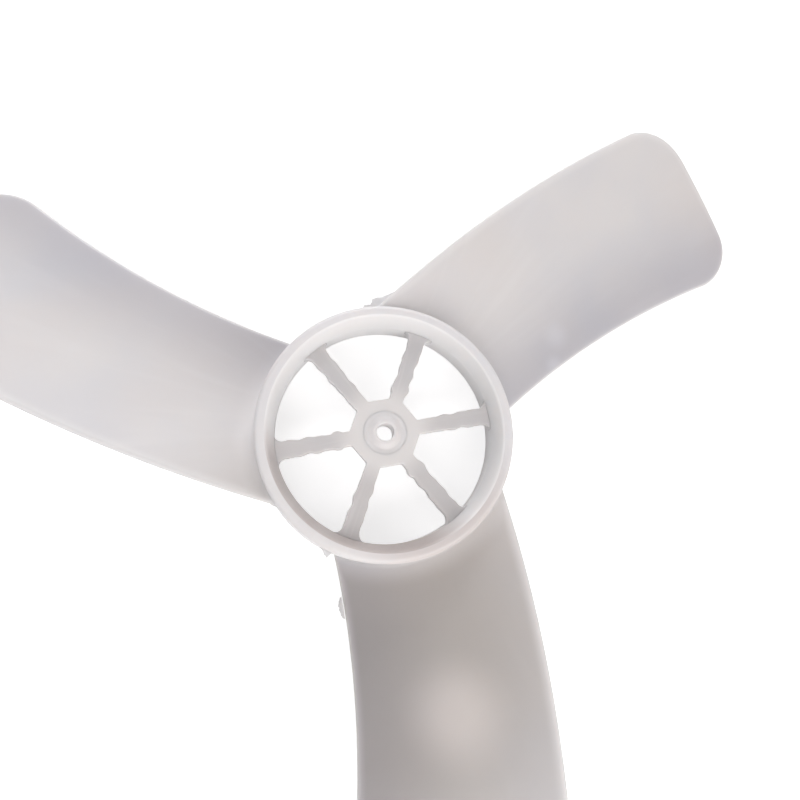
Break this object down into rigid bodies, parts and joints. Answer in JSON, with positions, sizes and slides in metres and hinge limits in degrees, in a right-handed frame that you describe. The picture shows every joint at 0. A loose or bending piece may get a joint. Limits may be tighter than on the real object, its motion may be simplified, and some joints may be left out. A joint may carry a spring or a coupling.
{
  "type": "axial fan impeller",
  "caption": "One-piece moulded axial fan impeller with twisted, swept blades round an open spoked hub ring.",
  "frame": {"origin": "on the shaft bore's axis, in the plane of the web's front face", "axes": "+Z along the bore's axis towards the front of the fan, +X along the picture's right"},
  "size_m": [0.4102, 0.3892, 0.0379],
  "materials": {
    "natural_plastic": "milky, slightly see-through moulded polypropylene with a soft sheen"
  },
  "bodies": {
    "root": {"impeller": "natural_plastic"}
  },
  "joints": []
}
